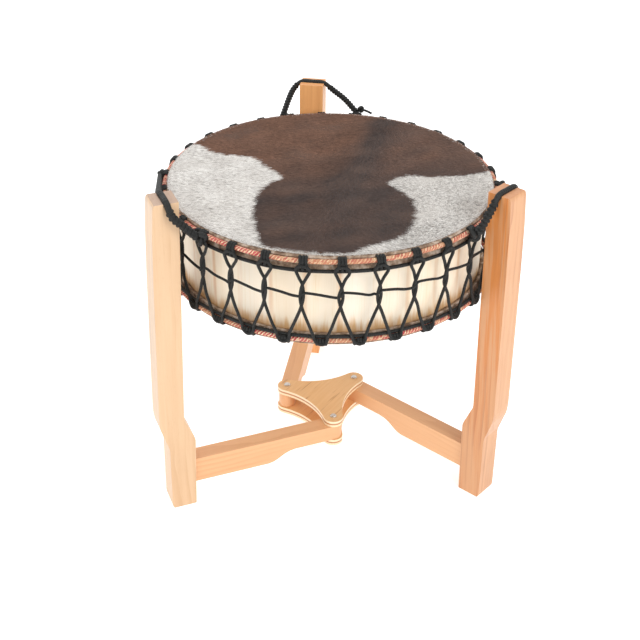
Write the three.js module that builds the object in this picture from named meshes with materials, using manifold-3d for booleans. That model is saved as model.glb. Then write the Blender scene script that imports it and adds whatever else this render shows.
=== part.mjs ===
// A round ceremonial drum, laced with black rope, hanging from the three legs of a folding wooden stand.
//
// Millimetres, +Z up, the floor at z = 0. The front of the drum faces -Y.
// The drum is a hollow shell with a hide over each end. Each hide is held by a cloth-wrapped ring, and one
// rope laces the two rings together. Three rope loops hang the drum from grooves in the tops of the legs.
// Each leg is fixed to an arm, and the three arms turn on bolts between two plywood hub plates.

import * as THREE from "three";
import { mergeVertices } from "three/addons/utils/BufferGeometryUtils.js";
import Module from "manifold-3d";

// ---------------------------------------------------------------- driving dimensions

// Where the middle of the hub stands, so that the part's box is centred on the origin.
const HUB = new THREE.Vector2(-11.88, -35.26);
// Where the drum's axis stands, from the middle of the hub.
const DRUM_OFF_HUB = new THREE.Vector2(3.3, 0.3);
const GAP = 0.3; // between pieces that rest on each other

// The drum. Its lower half mirrors its upper half about DRUM_MID_Z.
const DRUM_MID_Z = 520.5;
const SHELL_RADIUS = 288;
const SHELL_WALL = 22;
const SHELL_HEIGHT = 167;
const STAVES = 30;
const HIDE = 3; // the thickness of a hide with its hair
const RING_RADIUS = 303.5;
const RING_TUBE = 5.2;
const RING_OFF_MID = 76.5; // from the middle of the drum to each ring

// The rope lacing.
const LOOPS = 30; // lacing loops on each ring
const PITCH = 360 / LOOPS;
const FIRST_LOOP = -134.35; // degrees
const PITCH_LENGTH = (RING_RADIUS * 2 * Math.PI) / LOOPS;
const ROPE = 2.8; // radius
const RUNNING_LINE = 3; // radius
const KNOT_CLEAR = 1.2; // from a ring to the knots on it
// The strands hang free of the shell, drawn tight between the outer sides of the two rings.
const LACE_RADIUS = 311.2; // to the middle of the rope
// Heights off the drum's middle: a loop's knot, the line through the loops, the twist's top and foot, the
// woven rope, and where the strands reach the knots below.
const KNOT_OFF = 73;
const LINE_OFF = 60;
const TWIST_TOP = 34;
const WEAVE_OFF = 17;
const TWIST_FOOT = -4;
const FOOT_OFF = -72;
const LEFT_FOOT = -0.37; // where the two strands end, in pitches from their loop
const RIGHT_FOOT = 0.33;

// The stand.
const BOLT_CIRCLE = 82.3; // radius on which the arms turn
const FIRST_BOLT = -77.67; // degrees
const ARM_LENGTH = 298.3; // from the bolt to the inner face of the leg's foot
// Which way each arm points, from its leg to its bolt, in degrees, and the lacing loops that its leg's
// rope loop is tied to, on the counter-clockwise side and on the clockwise side.
const SIDES = [
  { name: "left", heading: 22.17, ties: [0, -4] },
  { name: "right", heading: 139.29, ties: [11, 8] },
  { name: "back", heading: 262.17, ties: [20, 18] },
];
const LEG_WIDTH = 48;
const LEG_TOP = 657;
const LEG_BEND = 152; // the height at which a leg bends outward
const ARM_WIDTH = 33.7;
const ARM_TOP = 102;
const ARM_UNDER_LEG = 48; // the arm's underside, at its deep end
const ARM_UNDER_HUB = 70; // and at the hub
const PLATE = 13; // thickness of a hub plate
const PLATE_CORNER = 19.5; // radius of a hub plate's corners
const PLATE_WAIST = 44; // from the middle of a hub plate to its hollow sides
const BOLT = 4; // radius of a shank
const BOLT_HEAD = 6.8; // radius of a head
const NUT = 7.4; // radius of a nut, over its corners
const NUT_THICK = 6;

// The rope loops that hang the drum.
const HANGER = 6.2; // radius
const HANGER_SIDES = 7;
const HANGER_STEPS = 20;
const GROOVE_BACK = 22; // from the foot's inner face out to the groove
const KNOT_RADIUS = 323; // where a hanger's knots sit, from the drum's axis

// ---------------------------------------------------------------- materials

const material = (color, roughness, metalness = 0) =>
  new THREE.MeshStandardMaterial({ color, roughness, metalness });
const shellWood = material(0xe9d6ae, 0.7);
const standWood = material(0xe2b27c, 0.55);
const plywood = material(0xd9ad78, 0.55);
const hideTop = material(0x9c8f86, 0.95);
const hideUnder = material(0xcfc4b0, 0.9);
const wrapCloth = material(0xd0685a, 0.9);
const blackRope = material(0x1d2123, 0.85);
const nickel = material(0xb9b6ae, 0.3, 1);

// ---------------------------------------------------------------- solids

const wasm = await Module();
wasm.setup();

/** A closed geometry as a manifold solid, which can be joined and cut. */
function solid(geometry) {
  const bare = geometry.clone();
  bare.deleteAttribute("normal");
  bare.deleteAttribute("uv");
  const merged = mergeVertices(bare, 1e-4);
  return new wasm.Manifold(
    new wasm.Mesh({
      numProp: 3,
      vertProperties: merged.attributes.position.array,
      triVerts: new Uint32Array(merged.index.array),
    }),
  );
}

/** A manifold solid as a geometry again. */
function geometryOf(manifold) {
  const { vertProperties, triVerts } = manifold.getMesh();
  const geometry = new THREE.BufferGeometry();
  geometry.setAttribute("position", new THREE.BufferAttribute(vertProperties, 3));
  geometry.setIndex(new THREE.BufferAttribute(triVerts, 1));
  const faceted = geometry.toNonIndexed();
  faceted.computeVertexNormals();
  return faceted;
}

const part = new THREE.Group();
const hub = new THREE.Group();
hub.position.set(HUB.x, HUB.y, 0);
const drum = new THREE.Group();
drum.position.set(DRUM_OFF_HUB.x, DRUM_OFF_HUB.y, 0);
hub.add(drum);
part.add(hub);

function add(parent, name, geometry, finish) {
  const mesh = new THREE.Mesh(geometry, finish);
  mesh.name = name;
  parent.add(mesh);
  return mesh;
}

const radians = THREE.MathUtils.degToRad;

/** The point at a radius, an angle in degrees and a height. */
function polar(radius, degrees, z) {
  const angle = radians(degrees);
  return new THREE.Vector3(radius * Math.cos(angle), radius * Math.sin(angle), z);
}

/** A closed profile of [radius, height] points turned about Z, outside first, with a corner along X. */
function turned(profile, facets) {
  const points = profile.map(([r, z]) => new THREE.Vector2(r, z));
  return new THREE.LatheGeometry(points, facets).rotateX(Math.PI / 2).rotateZ(Math.PI / 2);
}

/** A ring of round section at a height off the drum's middle, with a flat behind each of its knots. */
function ring({ radius, tube, off, sides }) {
  const facing = off > 0 ? PITCH / 2 : 0;
  const profile = [];
  for (let i = 0; i <= sides; i += 1) {
    const turn = (2 * Math.PI * i) / sides;
    profile.push([radius + tube * Math.cos(turn), tube * Math.sin(turn)]);
  }
  return turned(profile, LOOPS)
    .rotateZ(radians(FIRST_LOOP + facing))
    .translate(0, 0, DRUM_MID_Z + off);
}

/** A many-sided bar along a curve. */
function bar(curve, radius, sides, steps) {
  const section = new THREE.Shape();
  for (let i = 0; i < sides; i += 1) {
    const turn = (2 * Math.PI * (i + 0.5)) / sides;
    const [x, y] = [radius * Math.cos(turn), radius * Math.sin(turn)];
    if (i === 0) section.moveTo(x, y);
    else section.lineTo(x, y);
  }
  return new THREE.ExtrudeGeometry(section, { extrudePath: curve, steps, bevelEnabled: false });
}

// ---------------------------------------------------------------- the drum

/** The hollow wooden shell, built up of flat staves that meet behind the lacing's loops. */
function shellGeometry() {
  const half = SHELL_HEIGHT / 2;
  const inner = SHELL_RADIUS - SHELL_WALL;
  return turned(
    [
      [inner, -half],
      [SHELL_RADIUS, -half],
      [SHELL_RADIUS, half],
      [inner, half],
      [inner, -half],
    ],
    STAVES,
  )
    .rotateZ(radians(FIRST_LOOP))
    .translate(0, 0, DRUM_MID_Z);
}

/** A hide: a disc over the shell's end, a skirt down its side, and a rolled edge over the ring. */
function hideGeometry(skirt) {
  const end = SHELL_HEIGHT / 2 + GAP;
  const outside = SHELL_RADIUS + GAP;
  const roll = RING_OFF_MID + RING_TUBE + 0.8;
  return turned(
    [
      [0, end],
      [outside, end],
      [outside, end - skirt],
      [outside + 7.5, end - skirt + 3],
      [outside + 4, RING_OFF_MID - RING_TUBE],
      [outside + 4, roll],
      [RING_RADIUS - 2, roll],
      [RING_RADIUS - 3, end + HIDE],
      [0, end + HIDE],
    ],
    STAVES,
  );
}

/** What is drawn about the drum's middle, placed at its upper end. */
function upper(geometry) {
  return geometry.rotateZ(radians(FIRST_LOOP)).translate(0, 0, DRUM_MID_Z);
}

/** And placed at its lower end, the other way up. */
function lower(geometry) {
  return upper(geometry.rotateX(Math.PI));
}

/** One lacing knot: rope wrapped round the outside of a ring, from one angle of its section to another. */
function knot({ at, off, width, from, to }) {
  const steps = 2;
  const arc = (radius, i) => {
    const turn = radians(from + ((to - from) * i) / steps);
    return new THREE.Vector2(radius * Math.cos(turn), radius * Math.sin(turn));
  };
  const points = [];
  for (let i = 0; i <= steps; i += 1) points.push(arc(RING_TUBE + 2 * ROPE, i));
  for (let i = steps; i >= 0; i -= 1) points.push(arc(RING_TUBE + KNOT_CLEAR, i));
  return new THREE.ExtrudeGeometry(new THREE.Shape(points), { depth: width, bevelEnabled: false })
    .translate(0, 0, -width / 2)
    .rotateX(Math.PI / 2)
    .translate(RING_RADIUS, 0, DRUM_MID_Z + off)
    .rotateZ(radians(FIRST_LOOP + at * PITCH));
}

/** A shape drawn on the unrolled drum, across in pitches, made as thick as the rope and bent round it. */
function wrapped(shape, at) {
  const geometry = new THREE.ExtrudeGeometry(shape, { depth: 2 * ROPE, bevelEnabled: false });
  const place = geometry.attributes.position;
  for (let i = 0; i < place.count; i += 1) {
    const radius = LACE_RADIUS + place.getZ(i) - ROPE;
    const point = polar(radius, FIRST_LOOP + (at + place.getX(i)) * PITCH, DRUM_MID_Z + place.getY(i));
    place.setXYZ(i, point.x, point.y, point.z);
  }
  return geometry;
}

/** The rope of one loop: two strands that meet in a twist and part again to the two knots below. */
function strands() {
  const thick = ROPE / PITCH_LENGTH; // half a rope, in pitches
  const twist = 1.5 * thick;
  const [upX, lowX] = [-0.01, -0.03]; // the twist leans a little
  const shape = new THREE.Shape();
  const outline = [
    [-0.12, KNOT_OFF],
    [-0.21, LINE_OFF],
    [upX - twist, TWIST_TOP],
    [lowX - twist, TWIST_FOOT],
    [LEFT_FOOT - thick, FOOT_OFF],
    [LEFT_FOOT + thick, FOOT_OFF],
    [lowX, TWIST_FOOT - 8],
    [RIGHT_FOOT - thick, FOOT_OFF],
    [RIGHT_FOOT + thick, FOOT_OFF],
    [lowX + twist, TWIST_FOOT],
    [upX + twist, TWIST_TOP],
    [0.24, LINE_OFF],
    [0.12, KNOT_OFF],
  ];
  shape.setFromPoints(outline.map(([x, y]) => new THREE.Vector2(x, y)));
  const eye = [
    [-0.11, LINE_OFF - 1],
    [0.13, LINE_OFF - 1],
    [upX, TWIST_TOP + 8],
  ];
  shape.holes.push(new THREE.Path(eye.map(([x, y]) => new THREE.Vector2(x, y))));
  return shape;
}

/** The rope woven round the drum, from one twist to the next. */
function weave() {
  const corners = [
    [-0.08, WEAVE_OFF - ROPE],
    [0.94, WEAVE_OFF - ROPE],
    [0.94, WEAVE_OFF + ROPE],
    [-0.08, WEAVE_OFF + ROPE],
  ];
  return new THREE.Shape(corners.map(([x, y]) => new THREE.Vector2(x, y)));
}

function lacingGeometry() {
  const pieces = [];
  for (let i = 0; i < LOOPS; i += 1) {
    pieces.push(wrapped(strands(), i));
    pieces.push(wrapped(weave(), i));
    pieces.push(knot({ at: i, off: RING_OFF_MID, width: 16, from: 75, to: -95 }));
    pieces.push(knot({ at: i - 0.5, off: -RING_OFF_MID, width: 24, from: 35, to: -85 }));
  }
  const joined = wasm.Manifold.union(pieces.map(solid));
  return geometryOf(joined.simplify(0.3)); // slivers under 0.3 mm are merged away
}

/** A cloth-wrapped ring, and the rope line drawn tight beside it. */
function wrappedRing(off) {
  return ring({ radius: RING_RADIUS, tube: RING_TUBE, off, sides: 6 });
}

function runningLine(radius, off) {
  return ring({ radius, tube: RUNNING_LINE, off, sides: 4 });
}

add(drum, "shell", shellGeometry(), shellWood);
add(drum, "drum_head_top", upper(hideGeometry(30)), hideTop);
add(drum, "drum_head_bottom", lower(hideGeometry(21)), hideUnder);
add(drum, "ring_top", wrappedRing(RING_OFF_MID), wrapCloth);
add(drum, "ring_bottom", wrappedRing(-RING_OFF_MID), wrapCloth);
add(drum, "running_line_top", runningLine(304.8, 58.5), blackRope);
add(drum, "running_line_bottom", runningLine(305.3, -68), blackRope);
add(drum, "lacing", lacingGeometry(), blackRope);

// ---------------------------------------------------------------- the stand

const plateLow = ARM_UNDER_HUB - GAP - PLATE; // the underside of the lower hub plate

/** A hub plate: a rounded triangle with hollow sides and a hole for each bolt. */
function plateGeometry() {
  const [b, c, w] = [BOLT_CIRCLE, PLATE_CORNER, PLATE_WAIST];
  const hollow = (w * w + b * b - b * w - c * c) / (2 * c + b - 2 * w); // radius of a hollow side
  const away = hollow + w; // from the hub's middle to the middle of a hollow side
  const half = Math.asin((b * Math.sin(Math.PI / 3)) / (hollow + c)); // half of a hollow side's arc
  const bend = Math.PI / 3 + half; // half of a corner's arc
  const outline = new THREE.Shape();
  for (let i = 0; i < 3; i += 1) {
    const corner = radians(FIRST_BOLT + 120 * i);
    const [x, y] = [b * Math.cos(corner), b * Math.sin(corner)];
    outline.absarc(x, y, c, corner - bend, corner + bend, false);
    const side = corner + Math.PI / 3;
    const facing = side + Math.PI;
    outline.absarc(away * Math.cos(side), away * Math.sin(side), hollow, facing + half, facing - half, true);
    const hole = new THREE.Path();
    hole.absarc(x, y, BOLT + GAP, 0, 2 * Math.PI, true);
    outline.holes.push(hole);
  }
  return new THREE.ExtrudeGeometry(outline, { depth: PLATE, bevelEnabled: false, curveSegments: 5 });
}

/** A bolt with a rounded head above the upper plate, and a shank that ends below its nut. */
function boltGeometry() {
  const end = plateLow - NUT_THICK - 3;
  const seat = ARM_TOP + GAP + PLATE + GAP;
  return turned(
    [
      [0, end],
      [BOLT, end],
      [BOLT, seat],
      [BOLT_HEAD, seat],
      [BOLT_HEAD, seat + 1.6],
      [BOLT_HEAD - 2, seat + 3.2],
      [0, seat + 3.2],
    ],
    8,
  );
}

/** A six-sided nut, drawn up under the lower plate. */
function nutGeometry() {
  const corners = [];
  for (let i = 0; i < 6; i += 1) {
    const turn = (Math.PI * i) / 3;
    corners.push(new THREE.Vector2(NUT * Math.cos(turn), NUT * Math.sin(turn)));
  }
  const outline = new THREE.Shape(corners);
  const hole = new THREE.Path();
  hole.absarc(0, 0, BOLT + GAP, 0, 2 * Math.PI, true);
  outline.holes.push(hole);
  return new THREE.ExtrudeGeometry(outline, { depth: NUT_THICK, bevelEnabled: false, curveSegments: 8 })
    .translate(0, 0, plateLow - GAP - NUT_THICK);
}

/** How far in a leg's inner face stands at a height, below the leg's bend. */
function footFace(z) {
  return THREE.MathUtils.mapLinear(z, 0, LEG_BEND, 1, 6);
}

/** A leg's outline, x inward from where its arm is measured and y up. */
function legOutline() {
  const outline = new THREE.Shape();
  outline.moveTo(footFace(0), 0);
  outline.lineTo(footFace(LEG_BEND), LEG_BEND);
  outline.quadraticCurveTo(6, LEG_BEND + 5, 3, LEG_BEND + 13);
  outline.lineTo(-13, 204);
  outline.quadraticCurveTo(-14, 208, -13.7, 218);
  outline.lineTo(-1, LEG_TOP);
  outline.lineTo(-42, LEG_TOP);
  outline.quadraticCurveTo(-46, LEG_TOP, -47, LEG_TOP - 8);
  outline.bezierCurveTo(-53, 590, -55, 470, -61, 230);
  outline.quadraticCurveTo(-62, 205, -59, 190);
  outline.lineTo(-45.5, 146);
  outline.quadraticCurveTo(-44.5, 138, -45, 128);
  outline.lineTo(-46.5, 12);
  outline.quadraticCurveTo(-46.5, 2, -42, 0);
  return outline;
}

/** An arm's outline, x inward from its leg and y up. */
function armOutline() {
  const end = ARM_LENGTH + ARM_WIDTH / 2 + 5;
  const outline = new THREE.Shape();
  outline.moveTo(footFace(ARM_UNDER_LEG) + GAP, ARM_UNDER_LEG);
  outline.lineTo(155, ARM_UNDER_LEG);
  outline.bezierCurveTo(178, ARM_UNDER_LEG + 2, 182, ARM_UNDER_HUB - 2, 212, ARM_UNDER_HUB);
  outline.lineTo(end, ARM_UNDER_HUB);
  outline.lineTo(end, ARM_TOP);
  outline.lineTo(footFace(ARM_TOP) + GAP, ARM_TOP);
  return outline;
}

/** An outline in the leg's own plane, made as thick as asked, standing up. */
function upright(outline, thickness, curveSegments) {
  return new THREE.ExtrudeGeometry(outline, { depth: thickness, bevelEnabled: false, curveSegments })
    .translate(0, 0, -thickness / 2)
    .rotateX(Math.PI / 2);
}

/** An arm with its rounded end and its bolt hole. */
function armGeometry() {
  const plan = new THREE.Shape();
  plan.moveTo(0, -ARM_WIDTH / 2);
  plan.lineTo(ARM_LENGTH, -ARM_WIDTH / 2);
  plan.absarc(ARM_LENGTH, 0, ARM_WIDTH / 2, -Math.PI / 2, Math.PI / 2, false);
  plan.lineTo(0, ARM_WIDTH / 2);
  const hole = new THREE.Path();
  hole.absarc(ARM_LENGTH, 0, BOLT + GAP, 0, 2 * Math.PI, true);
  plan.holes.push(hole);
  const tall = new THREE.ExtrudeGeometry(plan, { depth: 300, bevelEnabled: false, curveSegments: 6 });
  return geometryOf(solid(upright(armOutline(), ARM_WIDTH + 10, 6)).intersect(solid(tall)));
}

/** The route of a hanger, in the hub's frame: up from one knot, over the leg's groove, down to the other. */
function hangerRoute(side, foot, inward, across) {
  const over = (off, z) =>
    new THREE.Vector3(
      foot.x - GROOVE_BACK * inward.x + off * across.x,
      foot.y - GROOVE_BACK * inward.y + off * across.y,
      z,
    );
  const tie = (loop) =>
    polar(KNOT_RADIUS, FIRST_LOOP + loop * PITCH, DRUM_MID_Z + RING_OFF_MID + 3).add(
      new THREE.Vector3(DRUM_OFF_HUB.x, DRUM_OFF_HUB.y, 0),
    );
  const edge = LEG_WIDTH / 2;
  const first = tie(side.ties[0]);
  const last = tie(side.ties[1]);
  const beside = (off, end) => over(off, LEG_TOP - 14).lerp(end, 0.12);
  return new THREE.CatmullRomCurve3(
    [
      first,
      beside(-edge - 12, first),
      over(-edge + 1, LEG_TOP + 0.5),
      over(0, LEG_TOP + 2),
      over(edge - 1, LEG_TOP + 0.5),
      beside(edge + 12, last),
      last,
    ],
    false,
    "centripetal",
  );
}

add(hub, "hub_plate_bottom", plateGeometry().translate(0, 0, plateLow), plywood);
add(hub, "hub_plate_top", plateGeometry().translate(0, 0, ARM_TOP + GAP), plywood);

SIDES.forEach((side, i) => {
  const heading = radians(side.heading);
  const inward = new THREE.Vector2(Math.cos(heading), Math.sin(heading));
  const across = new THREE.Vector2(-inward.y, inward.x);
  const bolt = polar(BOLT_CIRCLE, FIRST_BOLT + 120 * i, 0);
  const foot = new THREE.Vector2(bolt.x, bolt.y).addScaledVector(inward, -ARM_LENGTH);

  add(hub, `pivot_bolt_${side.name}`, boltGeometry().translate(bolt.x, bolt.y, 0), nickel);
  add(hub, `pivot_nut_${side.name}`, nutGeometry().translate(bolt.x, bolt.y, 0), nickel);

  const stand = (geometry) => geometry.rotateZ(heading).translate(foot.x, foot.y, 0);
  add(hub, `arm_${side.name}`, stand(armGeometry()), standWood);

  const route = hangerRoute(side, foot, inward, across);
  const groove = solid(bar(route, HANGER + 2 * GAP, HANGER_SIDES, HANGER_STEPS));
  const leg = solid(stand(upright(legOutline(), LEG_WIDTH, 4))).subtract(groove);
  add(hub, `leg_${side.name}`, geometryOf(leg), standWood);
  add(hub, `hanging_loop_${side.name}`, bar(route, HANGER, HANGER_SIDES, HANGER_STEPS), blackRope);
});

export default part;
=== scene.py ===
"""The looks of a rope-laced drum with a cowhide head, hung from a folding wooden stand.

Metres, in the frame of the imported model. The drum's axis, the legs and the bolts are found in the frame.
A place on the drum is given by its radius, its turn in lacing pitches from the first loop, and its height
off the drum's middle.
"""

import math

import bpy
import numpy as np
from mathutils import Matrix, Vector


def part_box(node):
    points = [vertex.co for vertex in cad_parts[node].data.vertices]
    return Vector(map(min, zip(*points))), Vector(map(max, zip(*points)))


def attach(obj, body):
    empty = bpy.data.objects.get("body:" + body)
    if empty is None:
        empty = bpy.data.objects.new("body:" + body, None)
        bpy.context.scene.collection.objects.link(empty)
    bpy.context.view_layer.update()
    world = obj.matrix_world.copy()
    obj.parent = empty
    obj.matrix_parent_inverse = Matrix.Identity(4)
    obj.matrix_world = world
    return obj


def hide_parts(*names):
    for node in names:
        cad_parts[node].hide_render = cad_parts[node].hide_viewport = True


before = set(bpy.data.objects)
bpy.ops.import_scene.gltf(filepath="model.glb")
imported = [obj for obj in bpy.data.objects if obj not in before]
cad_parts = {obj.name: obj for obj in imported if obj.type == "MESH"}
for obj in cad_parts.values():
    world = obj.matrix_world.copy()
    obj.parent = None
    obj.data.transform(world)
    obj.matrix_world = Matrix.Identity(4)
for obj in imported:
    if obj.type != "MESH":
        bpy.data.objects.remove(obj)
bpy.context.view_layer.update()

MM = 0.001
RNG = np.random.default_rng(11)  # shakes the ropes and scatters the hair

# ---------------------------------------------------------------- measures

shell_low, shell_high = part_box("shell")
DRUM = (shell_low + shell_high) / 2  # the middle of the drum
SHELL_RADIUS = (shell_high.y - shell_low.y) / 2
SHELL_HALF = (shell_high.z - shell_low.z) / 2
SHELL_WALL = 22 * MM
STAVES = 30

LOOPS = 30
PITCH = 2 * math.pi / LOOPS
FIRST_LOOP = math.radians(-134.35)

EDGE_RADIUS = 300 * MM  # the rolled edge of the head
RING_RADIUS = 304.3 * MM
RING_TUBE = 4.3 * MM
RING_OFF = sum(corner.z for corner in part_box("ring_top")) / 2 - DRUM.z
TOP_LINE = (305.0 * MM, 58.8 * MM)  # radius and height off the middle of each running line
BOTTOM_LINE = (305.4 * MM, -68.2 * MM)

LACE_RADIUS = 311.2  # mm, where the strands hang, tight between the rings
ROPE = 2.85 * MM
WEAVE_ROPE = 2.4 * MM
LINE_ROPE = 3.2 * MM
HEAD_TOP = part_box("drum_head_top")[1].z

SIDES = {"left": 22.17, "right": 139.29, "back": 262.17}  # which way each arm points, in degrees
ARM_LENGTH = 298.3 * MM  # from its bolt to its outer end
LEG_WIDTH = 48 * MM
LEG_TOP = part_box("leg_left")[1].z
GROOVE_BACK = 22 * MM  # from an arm's outer end, out to the middle of its leg's groove
TIES = {"left": (0, -4), "right": (11, 8), "back": (20.17, 17.87)}  # loops that a leg's rope is tied to

EYE = Vector((DRUM.x - 15.5 * MM, DRUM.y - 1987.4 * MM, 1551.5 * MM))  # where the camera stands
EYE_TILT = math.radians(57.64)  # from straight down, towards +Y
EYE_ROLL = math.radians(0.9)
LENS = 66.67  # mm, on a sensor 36 mm wide
FLOOR_HALF = 60.0


def middle(node):
    low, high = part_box(node)
    return (low + high) / 2


# ---------------------------------------------------------------- meshes


def linked(name, data):
    """A new object in the scene."""
    thing = bpy.data.objects.new(name, data)
    bpy.context.scene.collection.objects.link(thing)
    return thing


def mesh_object(name, points, faces, material, uv=None, smooth=True, attributes=None):
    """A mesh object that rides on the part. uv holds one pair for each corner of each face."""
    mesh = bpy.data.meshes.new(name)
    mesh.from_pydata(np.asarray(points, float).tolist(), [], [list(f) for f in faces])
    if uv is not None:
        layer = mesh.uv_layers.new(name="UVMap")
        layer.data.foreach_set("uv", np.asarray(uv, np.float32).ravel())
    for key, values in (attributes or {}).items():
        layer = mesh.attributes.new(key, "FLOAT", "POINT")
        layer.data.foreach_set("value", np.asarray(values, np.float32))
    if smooth:
        mesh.shade_smooth()
    mesh.materials.append(material)
    mesh.update()
    thing = linked(name, mesh)
    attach(thing, "root")
    return thing


class Parts:
    """Gathers pieces of mesh that become one object."""

    def __init__(self):
        self.points = []
        self.faces = []
        self.uv = []
        self.count = 0

    def add(self, points, faces, uv):
        self.points.append(points)
        self.faces.extend((np.asarray(f) + self.count).tolist() for f in faces)
        self.uv.append(uv)
        self.count += len(points)

    def build(self, name, material):
        return mesh_object(name, np.concatenate(self.points), self.faces, material, np.concatenate(self.uv))


def on_drum(radius, turn, off):
    """A point at a radius, a turn in pitches and a height off the drum's middle."""
    angle = FIRST_LOOP + turn * PITCH
    return np.array([DRUM.x + radius * math.cos(angle), DRUM.y + radius * math.sin(angle), DRUM.z + off])


def heading_of(angles):
    """Unit vectors that point along angles."""
    return np.stack([np.cos(angles), np.sin(angles)], axis=-1)


def unit(vectors):
    """Vectors made one long."""
    return vectors / np.linalg.norm(vectors, axis=-1, keepdims=True)


def distances(path):
    """How far along a path each of its points lies."""
    return np.concatenate([[0], np.cumsum(np.linalg.norm(np.diff(path, axis=0), axis=1))])


def at_distances(wanted, along, values):
    """The values at wanted distances, from those at the distances along a path."""
    return np.stack([np.interp(wanted, along, values[:, k]) for k in range(3)], axis=1)


def curve_through(knots, spacing, closed=False):
    """A smooth curve through points, as points a spacing apart."""
    knots = np.asarray(knots, float)
    count = len(knots)
    t = np.linspace(0, 1, 12, endpoint=False)[:, None]
    dense = []
    for i in range(count if closed else count - 1):
        near = [(i + k) % count if closed else min(max(i + k, 0), count - 1) for k in (-1, 0, 1, 2)]
        a, b, c, d = knots[near]
        dense.append(
            0.5 * (2 * b + (c - a) * t + (2 * a - 5 * b + 4 * c - d) * t**2 + (3 * b - a - 3 * c + d) * t**3)
        )
    dense.append(knots[:1] if closed else knots[-1:])
    dense = np.concatenate(dense)
    along = distances(dense)
    wanted = np.linspace(0, along[-1], max(2, round(along[-1] / spacing)) + 1)
    return at_distances(wanted[:-1] if closed else wanted, along, dense)


def frames_along(path, closed):
    """Two unit vectors across a path at each of its points, carried along it without twisting."""
    if closed:
        tangents = np.roll(path, -1, axis=0) - np.roll(path, 1, axis=0)
    else:
        tangents = np.gradient(path, axis=0)
    tangents = unit(tangents)
    across = [unit(np.cross(tangents[0], [0.31, 0.22, 0.92]))]  # any direction no rope starts along
    for tangent in tangents[1:]:
        across.append(unit(across[-1] - tangent * np.dot(across[-1], tangent)))
    across = np.array(across)
    return across, np.cross(tangents, across)


def corners_uv(u, next_u, v, next_v):
    """The uv pairs of the four corners of each face in a grid of faces."""
    corners = [np.stack(pair, -1) for pair in ((u, v), (next_u, v), (next_u, next_v), (u, next_v))]
    return np.stack(corners, axis=2).reshape(-1, 2)


def tube(parts, path, radius, sides, closed=False, ribs=None):
    """Adds a rope along a path. radius may change along it, and ribs(along, around) adds to it."""
    across, up = frames_along(path, closed)
    count = len(path)
    along = distances(path)
    around = np.arange(sides) * 2 * math.pi / sides
    size = np.broadcast_to(np.asarray(radius, float), (count,))[:, None] * np.ones(sides)
    if ribs:
        size = size + ribs(along[:, None], around[None, :])
    outward = across[:, None] * np.cos(around)[:, None] + up[:, None] * np.sin(around)[:, None]
    points = (path[:, None] + outward * size[:, :, None]).reshape(-1, 3)

    i, j = np.meshgrid(np.arange(count if closed else count - 1), np.arange(sides), indexing="ij")
    after, beside = (i + 1) % count * sides, (j + 1) % sides
    faces = np.stack([i * sides + j, i * sides + beside, after + beside, after + j], axis=-1).reshape(-1, 4)
    girth = 2 * math.pi * float(np.mean(size))
    v = along[i] / girth
    uv = corners_uv(j / sides, (j + 1) / sides, v, v + float(np.mean(np.diff(along))) / girth)
    if closed:
        parts.add(points, faces, uv)
        return
    caps = [list(range(sides))[::-1], list(range((count - 1) * sides, count * sides))]
    flat = 0.5 + 0.5 * heading_of(around)
    parts.add(points, list(faces) + caps, np.concatenate([uv, flat[::-1], flat]))


def lathe(name, profile, facets, material, first=0.0, ripple=None, smooth=True):
    """A closed profile of [radius, height] points turned about the drum's axis.

    ripple(angles, row) says how far each point moves out and up.
    """
    profile = np.asarray(profile, float)
    rows = len(profile)
    angles = first + np.arange(facets)[:, None] * 2 * math.pi / facets
    radius, height = profile[None, :, 0], profile[None, :, 1]
    if ripple:
        out, up = ripple(angles, np.arange(rows)[None, :])
        radius, height = radius + out, height + up
    x, y = DRUM.x + radius * np.cos(angles), DRUM.y + radius * np.sin(angles)
    points = np.stack(np.broadcast_arrays(x, y, DRUM.z + height), axis=-1).reshape(-1, 3)

    i, j = np.meshgrid(np.arange(facets), np.arange(rows), indexing="ij")
    beside, above = (i + 1) % facets * rows, (j + 1) % rows
    faces = np.stack([i * rows + j, beside + j, beside + above, i * rows + above], -1).reshape(-1, 4)
    run = distances(np.append(profile, profile[:1], axis=0))
    per_pitch = facets / LOOPS
    uv = corners_uv(i / per_pitch, (i + 1) / per_pitch, run[j], run[j + 1])
    return mesh_object(name, points, faces, material, uv, smooth)


# ---------------------------------------------------------------- materials


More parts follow.
